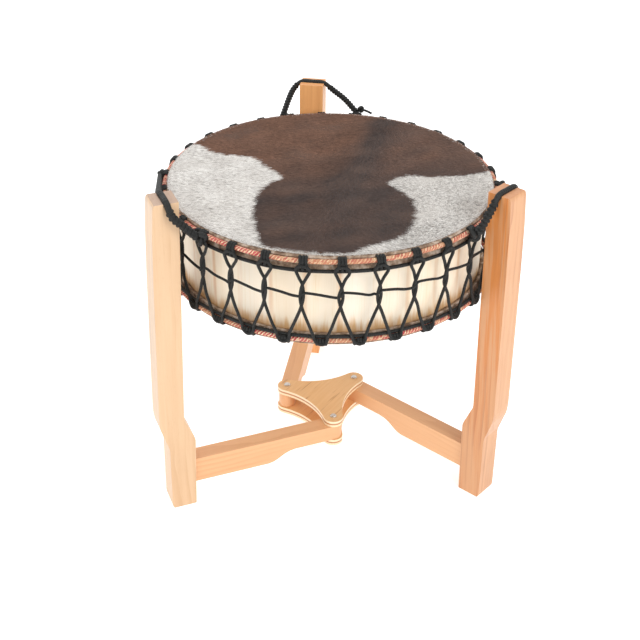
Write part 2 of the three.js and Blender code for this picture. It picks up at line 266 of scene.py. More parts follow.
class Shader:
    """A node material, built by short calls. Inputs are plain values or another node's output."""

    def __init__(self, name, **surface):
        self.material = bpy.data.materials.new(name)
        self.material.use_nodes = True
        self.tree = self.material.node_tree
        self.bsdf = self.tree.nodes["Principled BSDF"]
        self.fill(self.bsdf, surface)
        self.coords = self.add("ShaderNodeTexCoord")
        self.at = self.coords.outputs["Object"]
        self.uv = self.coords.outputs["UV"]

    def fill(self, node, inputs):
        for key, value in inputs.items():
            socket = node.inputs[key.replace("_", " ")] if isinstance(key, str) else node.inputs[key]
            if isinstance(value, bpy.types.NodeSocket):
                self.tree.links.new(value, socket)
            else:
                socket.default_value = value

    def add(self, kind, props=None, **inputs):
        node = self.tree.nodes.new(kind)
        for key, value in (props or {}).items():
            setattr(node, key, value)
        self.fill(node, inputs)
        return node

    def math(self, operation, a, b=0.0):
        node = self.add("ShaderNodeMath", {"operation": operation})
        self.fill(node, {0: a, 1: b})
        return node.outputs[0]

    def move(self, coords, scale=(1, 1, 1), location=(0, 0, 0), rotation=(0, 0, 0)):
        return self.add(
            "ShaderNodeMapping", Vector=coords, Scale=scale, Location=location, Rotation=rotation
        ).outputs[0]

    def noise(self, coords, scale, detail=2.0, roughness=0.5):
        node = self.add("ShaderNodeTexNoise", Vector=coords, Scale=scale, Detail=detail, Roughness=roughness)
        return node.outputs["Fac"]

    def ramp(self, factor, stops):
        """A colour ramp. Each stop is a position and an sRGB colour, 0 to 255."""
        node = self.add("ShaderNodeValToRGB", Fac=factor)
        elements = node.color_ramp.elements
        while len(elements) < len(stops):
            elements.new(0.5)
        for element, (position, colour) in zip(elements, stops):
            element.position = position
            element.color = rgb(*colour)
        return node.outputs["Color"]

    def attribute(self, name):
        return self.add("ShaderNodeAttribute", {"attribute_name": name}).outputs["Fac"]

    def split(self, vector):
        """The three parts of a vector."""
        return self.add("ShaderNodeSeparateXYZ", Vector=vector).outputs

    def range(self, value, low, high, to_low=0.0, to_high=1.0):
        node = self.add("ShaderNodeMapRange", {"interpolation_type": "SMOOTHSTEP"})
        self.fill(node, {0: value, 1: low, 2: high, 3: to_low, 4: to_high})
        return node.outputs[0]

    def mix(self, factor, a, b, blend="MIX"):
        node = self.add("ShaderNodeMix", {"data_type": "RGBA", "blend_type": blend})
        self.fill(node, {0: factor, 6: a, 7: b})
        return node.outputs[2]

    def colour(self, socket):
        self.fill(self.bsdf, {"Base Color": socket})

    def rough(self, socket):
        self.fill(self.bsdf, {"Roughness": socket})

    def bump(self, height, distance):
        node = self.add("ShaderNodeBump", Height=height, Distance=distance)
        self.fill(self.bsdf, {"Normal": node.outputs[0]})


def rgb(r, g, b):
    """An sRGB colour, 0 to 255, as linear light with alpha."""
    return (*(((v / 255 + 0.055) / 1.055) ** 2.4 if v > 10 else v / 3294.6 for v in (r, g, b)), 1.0)


def oiled(name, roughness, oil):
    """A shader with a thin coat of oil over it."""
    s = Shader(name, Roughness=roughness)
    s.bsdf.inputs["Coat Weight"].default_value = oil
    s.bsdf.inputs["Coat Roughness"].default_value = 0.3
    return s


def late_wood(s, placed, slow):
    """How dark the growth rings are: they lie round the Z axis, 12 mm apart, and waver slowly along it."""
    wobble = s.add("ShaderNodeTexNoise", Vector=slow, Scale=11.0, Detail=2.0).outputs["Color"]
    bent = s.add("ShaderNodeVectorMath", {"operation": "MULTIPLY_ADD"})
    s.fill(bent, {0: wobble, 1: (0.03, 0.03, 0.0), 2: placed})
    x, y, _ = s.split(bent.outputs[0])
    away = s.math("SQRT", s.math("ADD", s.math("MULTIPLY", x, x), s.math("MULTIPLY", y, y)))
    uneven = s.math("MULTIPLY", s.noise(slow, 30.0, 2.0), 1.6)
    ring = s.math("ADD", s.math("DIVIDE", away, 0.012), uneven)
    return s.math("POWER", s.math("FRACT", ring), 3.0)


def tinted(s, share, base, tint):
    """A colour multiplied by a tint, as far as a share says."""
    return s.mix(share, base, s.mix(1.0, base, tint, "MULTIPLY"))


def stand_wood(
    name, light, dark, heading=None, pith=(0.03, 0.02), seed=0.0, lean=0.0, figure=0.6, painted_face_light=None, ends=None
):
    """Oiled hardwood. The grain runs up, or along a heading, and its rings lie round a line beside it.

    figure is how strongly the grain shows. The argument after figure names a heading and a tint painted onto
    the face that looks that way, more strongly higher up: painted shade and painted reflection. ends is the
    tint of the end grain.
    """
    s = oiled(name, 0.48, 0.35)
    turned = s.at
    if heading is not None:
        flat = s.move(s.at, rotation=(0, 0, -heading))
        turned = s.move(flat, rotation=(0, math.pi / 2, 0))
    placed = s.move(turned, location=(*pith, seed), rotation=(lean, 0.6 * lean, 0))
    slow = s.move(placed, scale=(1, 1, 0.14))
    shown = s.range(s.noise(s.move(placed, scale=(1, 1, 0.3)), 16.0, 2.0), 0.4, 0.65)
    late = s.math("MULTIPLY", late_wood(s, placed, slow), shown)
    streak = s.noise(s.move(placed, scale=(1, 1, 0.025)), 150.0, 3.0, 0.6)
    fine = s.noise(s.move(placed, scale=(1, 1, 0.012)), 900.0, 3.0, 0.65)
    pores = s.range(s.noise(s.move(placed, scale=(1, 1, 0.05)), 1500.0, 1.0), 0.63, 0.75)
    tone = s.math("ADD", s.math("MULTIPLY", late, 0.45), s.math("MULTIPLY", streak, 0.7))
    tone = s.math("ADD", tone, s.math("MULTIPLY", s.noise(slow, 13.0, 2.0), 0.6))
    base = s.mix(s.range(tone, 0.42, 1.15, 0.0, figure), light, dark)
    base = s.mix(s.math("MULTIPLY", fine, 0.3 * figure), base, dark)
    base = s.mix(s.math("MULTIPLY", pores, 0.25 * figure), base, rgb(140, 84, 44))
    normal = s.coords.outputs["Normal"]
    if ends:
        base = tinted(s, s.range(s.split(normal)[2], 0.7, 0.95), base, ends)
    # Painted light: the face that looks one way takes a tint, stronger higher up, for shade from the drum
    # above and for reflection of the white surround.
    if painted_face_light:
        way, tint = painted_face_light
        facing = s.add("ShaderNodeVectorMath", {"operation": "DOT_PRODUCT"})
        s.fill(facing, {0: normal, 1: (math.cos(way), math.sin(way), 0)})
        higher = s.range(s.split(s.at)[2], 0.05, 0.5, 0.35, 1.1)
        share = s.math("MULTIPLY", s.range(facing.outputs[1], 0.5, 0.9), higher)
        base = tinted(s, s.math("MULTIPLY", share, s.range(streak, 0.4, 0.6, 0.25, 1.0)), base, tint)
    s.colour(base)
    s.rough(s.range(fine, 0.3, 0.7, 0.42, 0.56))
    s.bump(s.math("ADD", fine, s.math("MULTIPLY", pores, -0.7)), 0.00012)
    return s.material


def black_rope(name):
    """Braided black cord, its strands crossing each other both ways round."""
    s = Shader(name, Roughness=0.62)
    u, v, _ = s.split(s.uv)

    def strands(lay):
        slant = s.math("ADD", s.math("MULTIPLY", u, 4.0), s.math("MULTIPLY", v, 3.0 * lay))
        return s.math("SINE", s.math("MULTIPLY", slant, 2 * math.pi))

    braid = s.math("MULTIPLY", strands(1), strands(-1))
    fuzz = s.noise(s.at, 1400.0, 3.0, 0.7)
    tone = s.math("ADD", s.range(braid, -0.8, 0.9, 0.0, 0.6), s.math("MULTIPLY", fuzz, 0.5))
    s.colour(s.mix(tone, rgb(6, 7, 6), rgb(27, 28, 26)))
    s.rough(s.range(fuzz, 0.3, 0.7, 0.5, 0.75))
    s.bump(s.math("ADD", braid, s.math("MULTIPLY", fuzz, 0.5)), 0.0005)
    return s.material


def shell_wood():
    """Pale bare wood in upright staves, with a darker seam at each joint, stained flames at the foot, and
    painted shade along the bottom edge.
    """
    s = Shader("stave_wood", Roughness=0.6)
    u, _, _ = s.split(s.uv)
    wander = s.noise(s.move(s.at, scale=(1, 1, 0.25)), 30.0, 2.0)
    shifted = s.math("ADD", u, s.math("MULTIPLY", s.math("SUBTRACT", wander, 0.5), 0.16))
    own = s.add("ShaderNodeTexWhiteNoise", {"noise_dimensions": "1D"}, W=s.math("FLOOR", u)).outputs["Value"]
    _, _, height = s.split(s.at)
    grain = s.noise(s.move(s.at, scale=(1, 1, 0.02)), 420.0, 4.0, 0.7)
    coarse = s.noise(s.move(s.at, scale=(1, 1, 0.06)), 70.0, 2.0, 0.5)
    edge = s.math("ABSOLUTE", s.math("SUBTRACT", s.math("FRACT", shifted), 0.5))
    seam = s.range(edge, 0.38, 0.5)
    tone = s.math("ADD", s.math("MULTIPLY", own, 0.35), s.math("MULTIPLY", coarse, 0.5))
    base = s.mix(tone, rgb(250, 241, 226), rgb(246, 222, 188))
    base = s.mix(s.math("MULTIPLY", s.range(grain, 0.5, 0.8), 0.55), base, rgb(232, 202, 152))
    base = s.mix(s.math("MULTIPLY", seam, s.range(coarse, 0.35, 0.65, 0.1, 0.55)), base, rgb(216, 160, 104))
    flames = s.noise(s.move(s.at, scale=(1, 1, 0.1)), 95.0, 3.0, 0.7)
    bottom = DRUM.z - SHELL_HALF
    reach = s.range(height, bottom, DRUM.z - 0.25 * SHELL_HALF, 0.62, 0.0)
    base = s.mix(s.range(s.math("ADD", flames, reach), 0.72, 1.12, 0.0, 0.85), base, rgb(220, 170, 106))
    # painted shade: the last 16 mm of the shell darken to brown, where the rope and hide below shade it
    foot = s.range(height, bottom + 5 * MM, bottom + 16 * MM, 0.75, 0.0)
    base = s.mix(foot, base, rgb(158, 112, 80))
    s.colour(base)
    s.bump(grain, 0.00015)
    return s.material


def hide_material():
    """The skin under the hair, its colour from the coat's pattern."""
    s = Shader("hide_skin", Roughness=0.9)
    fine = s.noise(s.at, 700.0, 3.0, 0.7)
    slow = s.noise(s.at, 12.0, 2.0)
    brown = s.mix(slow, rgb(96, 74, 62), rgb(72, 56, 50))
    white = s.mix(fine, rgb(214, 210, 204), rgb(170, 164, 158))
    s.colour(s.mix(s.attribute("white"), brown, white))
    s.bump(fine, 0.0006)
    return s.material


def edge_material():
    """The rolled edge of the hide: mottled, with stray hair."""
    s = Shader("hide_edge", Roughness=0.85)
    blotch = s.noise(s.at, 70.0, 3.0, 0.6)
    fine = s.noise(s.at, 500.0, 3.0, 0.7)
    skin = [(0.34, (106, 80, 62)), (0.48, (158, 134, 112)), (0.58, (196, 178, 160)), (0.72, (220, 204, 192))]
    s.colour(s.mix(s.math("MULTIPLY", fine, 0.4), s.ramp(blotch, skin), rgb(96, 76, 62)))
    s.bump(fine, 0.0008)
    return s.material


def hair_material():
    """Short cow hair, each hair's colour its own."""
    s = Shader("hair", Roughness=0.55)
    s.bsdf.inputs["Specular IOR Level"].default_value = 0.3
    own = s.attribute("own")
    brown = s.mix(own, rgb(82, 58, 46), rgb(146, 108, 88))
    black = s.mix(own, rgb(56, 46, 44), rgb(89, 75, 70))
    greys = [(0.0, (112, 106, 102)), (0.2, (192, 187, 182)), (0.45, (226, 222, 217)), (1.0, (250, 249, 246))]
    # The dark mix is the dorsal stripe and front lobe, with painted shade towards the right.
    s.colour(s.mix(s.attribute("white"), s.mix(s.attribute("dorsal"), brown, black), s.ramp(own, greys)))
    return s.material


STRIPS = 9  # of cloth crossed along a ring, in a length equal to its girth
SLANT = 6  # strips crossed in one turn round it


def wrap_material():
    """Strips of red, pink, cream and tan cloth laid slantwise over a ring, faded to tan in some places."""
    s = Shader("ring_braid", Roughness=0.8)
    u, v, _ = s.split(s.uv)
    ragged = s.math("MULTIPLY", s.noise(s.at, 260.0, 2.0, 0.6), 2.2)
    slant = s.math("ADD", s.math("MULTIPLY", u, SLANT), s.math("ADD", s.math("MULTIPLY", v, STRIPS), ragged))
    strip = s.math("FLOOR", slant)
    pick = s.add("ShaderNodeTexWhiteNoise", {"noise_dimensions": "1D"}, W=strip).outputs[0]
    odd = s.math("FRACT", s.math("MULTIPLY", strip, 0.5))
    which = s.math("ADD", s.math("MULTIPLY", pick, 0.55), s.math("MULTIPLY", odd, 0.9))
    faded = s.range(s.noise(s.at, 7.0, 1.0), 0.38, 0.62)
    reds = [(0.1, (186, 40, 62)), (0.45, (222, 86, 100)), (0.55, (252, 232, 192)), (0.9, (238, 178, 142))]
    tans = [(0.1, (196, 100, 86)), (0.45, (208, 138, 102)), (0.55, (240, 210, 168)), (0.9, (216, 164, 124))]
    base = s.mix(faded, s.ramp(which, reds), s.ramp(which, tans))
    edge = s.range(s.math("ABSOLUTE", s.math("SUBTRACT", s.math("FRACT", slant), 0.5)), 0.3, 0.5)
    base = s.mix(s.math("MULTIPLY", edge, 0.6), base, rgb(160, 84, 72))
    fuzz = s.noise(s.at, 1200.0, 2.0, 0.6)
    s.colour(s.mix(s.math("MULTIPLY", fuzz, 0.25), base, rgb(150, 92, 76)))
    s.bump(s.math("SUBTRACT", s.math("MULTIPLY", fuzz, 0.4), edge), 0.0006)
    return s.material


PLATE_GRAIN = math.radians(34)  # from the plate's grain to +Y


def plywood(low, high):
    """A veneered face, and an edge that shows the plies between two heights: pale, brown, pale."""
    s = oiled("plywood", 0.42, 0.3)
    _, _, facing = s.split(s.coords.outputs["Normal"])
    flat = s.range(s.math("ABSOLUTE", facing), 0.9, 0.97)
    turned = s.move(s.at, rotation=(0, 0, PLATE_GRAIN))
    grain = s.noise(s.move(turned, scale=(1, 0.05, 1)), 240.0, 3.0, 0.6)
    line = s.range(s.noise(s.move(turned, scale=(1, 0.08, 1)), 170.0, 2.0), 0.62, 0.74)
    face = s.mix(grain, rgb(244, 200, 144), rgb(226, 170, 110))
    face = s.mix(s.math("MULTIPLY", line, 0.55), face, rgb(178, 112, 62))
    _, _, height = s.split(s.at)
    fine = s.noise(s.move(s.at, scale=(1, 1, 3)), 300.0, 2.0)
    plies = [(0.24, (255, 232, 192)), (0.36, (186, 124, 78)), (0.62, (196, 132, 84)), (0.76, (255, 236, 200))]
    side = s.ramp(s.range(height, low, high), plies)
    side = s.mix(s.math("MULTIPLY", fine, 0.25), side, rgb(166, 108, 66))
    s.colour(s.mix(flat, side, face))
    s.bump(grain, 0.0001)
    return s.material


def nickel():
    """Nickel plate, finely turned."""
    s = Shader("nickel", Metallic=1.0, Roughness=0.25)
    wear = s.noise(s.at, 600.0, 3.0)
    s.colour(s.mix(wear, rgb(240, 236, 230), rgb(206, 200, 192)))
    s.rough(s.range(wear, 0.3, 0.7, 0.16, 0.3))
    return s.material


ROPE_SKIN = black_rope("black_rope")
NICKEL = nickel()

# ---------------------------------------------------------------- the camera, the floor and the light


def aim_camera():
    """The eye stands in front of the drum, above it, and looks down along +Y."""
    data = bpy.data.cameras.new("camera")
    data.sensor_width = 36
    data.lens = LENS
    data.clip_end = 200
    camera = linked("camera", data)
    camera.matrix_world = (
        Matrix.Translation(EYE) @ Matrix.Rotation(EYE_TILT, 4, "X") @ Matrix.Rotation(EYE_ROLL, 4, "Z")
    )
    bpy.context.scene.camera = camera


def light(name, place, aim, size, power):
    """A square area light that looks at a point."""
    data = bpy.data.lights.new(name, "AREA")
    data.energy = power
    data.size = size
    lamp = linked(name, data)
    lamp.location = place
    lamp.rotation_euler = (Vector(aim) - Vector(place)).to_track_quat("-Z", "Y").to_euler()


def studio():
    """A white floor that runs out of sight, a white surround and three large soft lights."""
    s = Shader("floor_white", Roughness=0.9)
    s.bsdf.inputs["Base Color"].default_value = (0.85, 0.85, 0.85, 1)
    s.bsdf.inputs["Emission Color"].default_value = (1, 1, 1, 1)
    s.bsdf.inputs["Emission Strength"].default_value = 0.5
    mesh = bpy.data.meshes.new("floor")
    corners = [(FLOOR_HALF * x, FLOOR_HALF * y, 0) for x, y in ((-1, -1), (1, -1), (1, 1), (-1, 1))]
    mesh.from_pydata(corners, [], [(0, 1, 2, 3)])
    mesh.materials.append(s.material)
    floor = linked("floor", mesh)

    world = bpy.data.worlds.new("surround")
    world.use_nodes = True
    background = world.node_tree.nodes["Background"]
    background.inputs["Color"].default_value = (1, 1, 1, 1)
    background.inputs["Strength"].default_value = 0.86
    bpy.context.scene.world = world
    light("key", (1.7, -2.3, 2.2), (0, 0, 0.4), 1.6, 42)
    light("fill", (-2.4, -1.0, 1.6), (0, 0, 0.4), 2.0, 14)
    light("top", (-0.9, 1.3, 2.4), (0, 0, 0.6), 1.5, 17)
    bpy.context.scene.view_settings.view_transform = "Standard"
    bpy.context.scene.view_settings.look = "None"


aim_camera()
studio()

# ---------------------------------------------------------------- the lacing

# One loop of the rope on the unrolled drum: how far across from the loop, in pitches, the height off the
# middle in mm, how far in front of the strands' common radius in mm, and how much the point shares in the
# drift of the twists round the drum. The two strands cross twice, so each pair makes a twist.
UP = [
    (-0.35, -65, 0.0, 0.0),
    (-0.25, -46, 0.0, 0.3),
    (-0.13, -24, 0.5, 0.7),
    (-0.03, -5, 2.0, 1.0),
    (0.022, 14, 0.0, 0.7),
    (-0.012, 33, -2.0, 0.1),
    (-0.09, 46, 0.0, 0.0),
    (-0.165, 57.5, 0.6, 0.0),
]
ARCH = [(-0.18, 63.5, 1.0, 0.0), (-0.11, 69.3, 1.6, 0.0), (0.0, 71.2, 1.9, 0.0), (0.11, 69.3, 1.6, 0.0)]
DOWN = [
    (0.18, 63.5, 1.0, 0.0),
    (0.17, 57.5, 0.6, 0.0),
    (0.08, 46, 0.0, 0.0),
    (-0.012, 33, 2.0, 0.1),
    (-0.062, 14, 0.0, 0.7),
    (-0.03, -5, -2.0, 1.0),
    (0.075, -24, 0.5, 0.7),
    (0.19, -46, 0.0, 0.3),
    (0.30, -65, 0.0, 0.0),
]
BIGHT = [
    (0.33, -72.5, 0.4, 0.0),
    (0.40, -78.0, 1.4, 0.0),
    (0.5, -80.0, 1.7, 0.0),
    (0.60, -78.0, 1.4, 0.0),
    (0.66, -72.5, 0.4, 0.0),
]
WEAVE = [
    (-0.16, 13.0, -0.5, 0.6),
    (-0.08, 14.0, 1.6, 0.6),
    (0.0, 19.5, 1.6, 0.6),
    (0.09, 21.0, -0.5, 0.6),
    (0.42, 18.0, -1.4, 0.6),
    (0.7, 14.8, -1.4, 0.6),
]
DRIFT = 11  # mm, by which the twists sit lower on one side of the drum and higher on the other
TOP_WRAP = (116, -5)  # the angles of a ring's section between which a turn of rope goes round it
BOTTOM_WRAP = (55, -150)


def on_lace(loop, point):
    """The place of a point of the lists above, at a loop."""
    across, off, front, share = point
    drift = DRIFT * share * math.sin((loop - 4) * PITCH)
    return on_drum((LACE_RADIUS + front) * MM, loop + across, (off + drift) * MM)


def lace():
    """The one rope that laces the drum, round and round, with its wraps over the rings."""
    parts = Parts()
    knots = []
    for i in range(LOOPS):
        knots += [on_lace(i, point) + RNG.normal(0, 0.3, 3) * MM for point in UP + ARCH + DOWN + BIGHT]
    tube(parts, curve_through(knots, 3.0 * MM, closed=True), ROPE, 8, closed=True)
    for i in range(LOOPS):
        for side in (-1, 0, 1):
            wrap(parts, i + 0.078 * side, RING_OFF, TOP_WRAP, on_lace(i, (0.13 * side, 62, -1.5, 0)))
        for side in (-1.5, -0.5, 0.5, 1.5):
            wrap(parts, i + 0.5 + 0.08 * side, -RING_OFF, BOTTOM_WRAP)
    piece = parts.build("lacing_rope", ROPE_SKIN)
    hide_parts("lacing")


def wrap(parts, turn, off, angles, last=None):
    """A turn of rope round a ring, between two angles in degrees, and then to a last point."""
    around = RING_TUBE + ROPE - 0.2 * MM
    points = []
    slant = RNG.normal(0, 0.015)
    for share, angle in zip(np.linspace(-0.5, 0.5, 7), np.radians(np.linspace(*angles, 7))):
        place = turn + slant * share
        points.append(on_drum(RING_RADIUS + around * math.cos(angle), place, off + around * math.sin(angle)))
    if last is not None:
        points.append(last)
    tube(parts, curve_through(points, 2.5 * MM), ROPE, 8)


def weave():
    """The rope woven round the drum through the twists."""
    parts = Parts()
    knots = []
    for i in range(LOOPS):
        knots += [on_lace(i, point) + RNG.normal(0, 0.5, 3) * MM for point in WEAVE]
    tube(parts, curve_through(knots, 3.0 * MM, closed=True), WEAVE_ROPE, 8, closed=True)
    piece = parts.build("woven_rope", ROPE_SKIN)


def ring_path(radius, off, spacing, wobble):
    """A ring round the drum that wavers a little."""
    turns = np.arange(0, LOOPS, spacing * LOOPS / (2 * math.pi * radius))
    shake = wobble * np.sin(turns * 2 * math.pi / 5 + 1.3) + wobble * np.sin(turns * 2 * math.pi / 3)
    return np.array([on_drum(radius, turn, off + s) for turn, s in zip(turns, shake)])


def running_lines():
    """The two ropes that run round the shell inside the lacing."""
    for name, (radius, off) in (("top", TOP_LINE), ("bottom", BOTTOM_LINE)):
        parts = Parts()
        tube(parts, ring_path(radius, off, 3.0 * MM, 0.4 * MM), LINE_ROPE, 8, closed=True)
        piece = parts.build(f"line_rope_{name}", ROPE_SKIN)
        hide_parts(f"running_line_{name}")


def wrapped_rings():
    """The two rings in their braided cloth, with a slanting ridge for each strip."""
    cloth = wrap_material()

    def ridges(along, around):
        turn = SLANT * around / (2 * math.pi) + STRIPS * along / (2 * math.pi * RING_TUBE)
        return 0.5 * MM * (np.abs(np.sin(math.pi * turn)) - 0.6)

    for name, off in (("top", RING_OFF), ("bottom", -RING_OFF)):
        parts = Parts()
        tube(parts, ring_path(RING_RADIUS, off, 1.1 * MM, 0.3 * MM), RING_TUBE, 14, closed=True, ribs=ridges)
        piece = parts.build(f"wrapped_ring_{name}", cloth)
        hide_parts(f"ring_{name}")


lace()
weave()
running_lines()
wrapped_rings()

# ---------------------------------------------------------------- the shell


def stave_shell():
    """Flat staves with a fine groove at each joint."""
    out = SHELL_RADIUS - 0.3 * MM
    inner = SHELL_RADIUS - SHELL_WALL
    facets = STAVES * 8
    half = SHELL_HALF - 0.2 * MM
    profile = [(inner, -half), (out, -half), (out, half), (inner, half)]

    def flatten(angles, row):
        within = ((angles - FIRST_LOOP) / (2 * math.pi / STAVES) + 1e-6) % 1.0
        flat = math.cos(math.pi / STAVES) / np.cos((within - 0.5) * 2 * math.pi / STAVES) - 1
        outside = (row == 1) | (row == 2)
        seam = (within < 0.001) | (within > 0.999)
        return outside * (flat * out - seam * 0.7 * MM), 0.0 * angles * row

    piece = lathe(
        "stave_shell", profile, facets, shell_wood(), first=FIRST_LOOP, ripple=flatten, smooth=False
    )
    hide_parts("shell")


stave_shell()

# ---------------------------------------------------------------- the hides

# The outlines of the two white patches on the drum head, and the line of the dark stripe along the spine,
# from the head's middle, in mm. The patches run out past the head's edge.
LEFT_PATCH = [
    (-330, 165), (-284, 138), (-246, 128), (-224, 100), (-202, 90), (-172, 84), (-142, 76), (-120, 42),
    (-86, -6), (-106, -32), (-122, -62), (-131, -110), (-130, -160), (-123, -215), (-112, -262),
    (-95, -295), (-150, -360), (-360, -240), (-380, 60),
]
RIGHT_PATCH = [
    (340, 46), (284, 28), (248, 13), (212, 7), (178, 3), (148, 9), (128, 3), (103, -22), (117, -46),
    (132, -68), (145, -94), (149, -130), (146, -162), (139, -190), (120, -226), (84, -250), (52, -270),
    (32, -288), (-20, -299), (60, -380), (330, -260), (400, -40),
]
DORSAL = [(135, 330), (104, 240), (76, 118), (46, 30), (24, -40)]

# The sections of the hides' edges, as radius and height off the drum's middle in mm, both as if at the top:
# over the ring's inner side and down to a skirt behind the ring.
TOP_EDGE = [
    (276, 82.6), (290, 84.4), (296, 84.8), (300, 84.0), (302.4, 81.8), (301.6, 80.2), (298.6, 78.4),
    (296.8, 74), (297.6, 68), (301.2, 62), (302.6, 57.8), (301, 57.2), (296, 63), (290, 67), (288.8, 80),
]
BOTTOM_EDGE = [
    (276, 84.6), (292, 86.0), (298, 84.6), (300, 82.0), (296.8, 78), (296.4, 71), (297, 68.6),
    (295.6, 67.6), (289.2, 69.6), (288.8, 80),
]
TUCKED = 6  # points of a turned section, from its start, that draw in towards the back of the drum

HAIRS = 46000  # in each of the coat's two pieces
FRINGE_HAIRS = 16000


def line_distance(points, line):
    """How far points lie from a line through places."""
    best = np.full(len(points), np.inf)
    for a, b in zip(line[:-1], line[1:]):
        edge = b - a
        along = np.clip(((points - a) @ edge) / (edge @ edge), 0, 1)
        best = np.minimum(best, np.linalg.norm(points - a - along[:, None] * edge, axis=1))
    return best


def inside_distance(points, outline):
    """How far points lie inside a closed outline, negative outside."""
    loop = np.append(outline, outline[:1], axis=0)
    crossings = np.zeros(len(points), int)
    for a, b in zip(loop[:-1], loop[1:]):
        rises = (a[1] > points[:, 1]) != (b[1] > points[:, 1])
        with np.errstate(divide="ignore", invalid="ignore"):
            cut = a[0] + (points[:, 1] - a[1]) * (b[0] - a[0]) / (b[1] - a[1])
        crossings += rises & (points[:, 0] < cut)
    return np.where(crossings % 2 == 1, 1, -1) * line_distance(points, loop)


def smooth_outline(corners):
    return curve_through([(x, y, 0) for x, y in corners], 6.0, closed=True)[:, :2]


def soft_noise(points, size, seed):
    """A smooth value from about -1 to 1 at points, varying over a size in mm: a sum of slanting waves."""
    rng = np.random.default_rng(seed)
    total = np.zeros(len(points))
    for _ in range(9):
        angle = rng.uniform(0, 2 * math.pi)
        wave = size * rng.uniform(0.7, 1.6)
        along = points @ [math.cos(angle), math.sin(angle)]
        total += np.sin(along * 2 * math.pi / wave + rng.uniform(0, 7))
    return total / 3.5


def coat(points, jitter):
    """How white the coat is at points in mm from the head's middle, 0 to 1: two patches and a front rim.

    jitter moves the border by so many mm, on top of its own raggedness.
    """
    left, right = (inside_distance(points, smooth_outline(patch)) for patch in (LEFT_PATCH, RIGHT_PATCH))
    depth = np.maximum(left, right)
    away = np.linalg.norm(points, axis=1)
    front = np.clip((-points[:, 1] / np.maximum(away, 1) - 0.55) * 8, 0, 1)
    depth = np.maximum(depth, (away - 290) * front - 60 * (1 - front))
    ragged = 1.6 * soft_noise(points, 22, 3) + soft_noise(points, 9, 4) + jitter
    return np.clip((depth + ragged) / 2.0 + 0.5, 0, 1)


def stripe_lobe_and_painted_shade(points):
    """How far the coat darkens at points in mm from the middle: a dorsal stripe, the front lobe, and painted
    shade that grows towards the right.
    """
    away = line_distance(points, np.array(DORSAL, float))
    stripe = 0.8 * np.exp(-((away / 24) ** 2)) + 0.2 * np.exp(-((away / 70) ** 2))
    lobe = 0.85 * np.clip((100 - points[:, 1]) / 190, 0, 1)
    # painted shade: the hair darkens towards the right, where less light falls on the head
    right = 0.35 * np.clip((points[:, 0] - 60) / 120, 0, 1)
    return np.clip(stripe + lobe + right + 0.12 * soft_noise(points, 50, 9), 0, 1)


def hair_flow(points):
    """Which way the hair lies at points in mm: away from the spine on both sides, and along it."""
    spine = unit(np.array(DORSAL[-1], float) - DORSAL[0])
    right = np.array([-spine[1], spine[0]])
    aside = np.tanh((points - DORSAL[0]) @ right / 70)
    flow = aside[:, None] * right + 0.5 * spine
    angle = np.arctan2(flow[:, 1], flow[:, 0]) + 0.25 * soft_noise(points, 160, 21)
    return heading_of(angle)


def coat_reach(points):
    """How far from the middle the hair reaches, in mm: a little further at the back."""
    away = np.maximum(np.linalg.norm(points, axis=1), 1)
    return np.interp(points[:, 1] / away, [0.2, 0.7], [297.0, 299.5])


def over_head(places, height):
    """Points at a height, over places in mm from the head's middle."""
    flat = np.array(DRUM[:2]) + places * MM
    return np.column_stack([flat, np.broadcast_to(height, len(flat))])


def head_sheet():
    """The flat skin of the top hide, which dips a little here and there under the hair."""
    facets = 240
    radii = np.linspace(0, EDGE_RADIUS - 2.5 * MM, 46)[1:]
    angles = np.arange(facets) * 2 * math.pi / facets
    flat = np.concatenate([[[0, 0]], (radii[:, None, None] * heading_of(angles)).reshape(-1, 2)])
    dip = 0.5 * MM * (0.5 + 0.5 * soft_noise(flat / MM, 90, 5))
    points = over_head(flat / MM, HEAD_TOP - 1.0 * MM - dip)
    faces = [(0, 1 + j, 1 + (j + 1) % facets) for j in range(facets)]
    for i in range(len(radii) - 1):
        a, b = 1 + i * facets, 1 + (i + 1) * facets
        faces += [(a + j, b + j, b + (j + 1) % facets, a + (j + 1) % facets) for j in range(facets)]
    white = coat(flat / MM, 0.0)
    piece = mesh_object("hide_top", points, faces, hide_material(), attributes={"white": white})
    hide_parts("drum_head_top")


def rolled_edge(name, side, profile):
    """A hide's edge, rolled and crumpled, with its skirt. It bulges further in front than at the back.

    side is 1 for the top of the drum and -1 for the bottom, where the profile is turned over.
    """
    turned = [(r * MM, side * z * MM) for r, z in profile]
    if side < 0:
        turned = turned[::-1]
    phases = np.random.default_rng(17).uniform(0, 7, (len(turned), 3))

    def crumple(angles, row):
        total = 0.0 * angles * row
        for k, waves in enumerate((37, 61, 113)):
            total = total + np.sin(angles * waves + phases[row, k])
        tuck = 3.0 * MM * np.clip(1.5 * np.sin(angles) + 1.2, 0, 1) * (row < TUCKED)
        return 0.3 * MM * total - tuck, 0.35 * MM * np.sin(angles * 47 + phases[row, 1])

    piece = lathe(name, turned, 480, edge_material(), ripple=crumple)


def bottom_head():
    """The bottom hide, a flat disc 3 mm thick with a bevelled edge."""
    end = (DRUM.z - HEAD_TOP) / MM
    out = RING_RADIUS / MM - 2
    profile = np.array([(0.5, end), (out - 3, end), (out, end + 1), (out, end + 3), (0.5, end + 3)])
    piece = lathe("hide_bottom", profile * MM, 240, edge_material())
    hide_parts("drum_head_bottom")


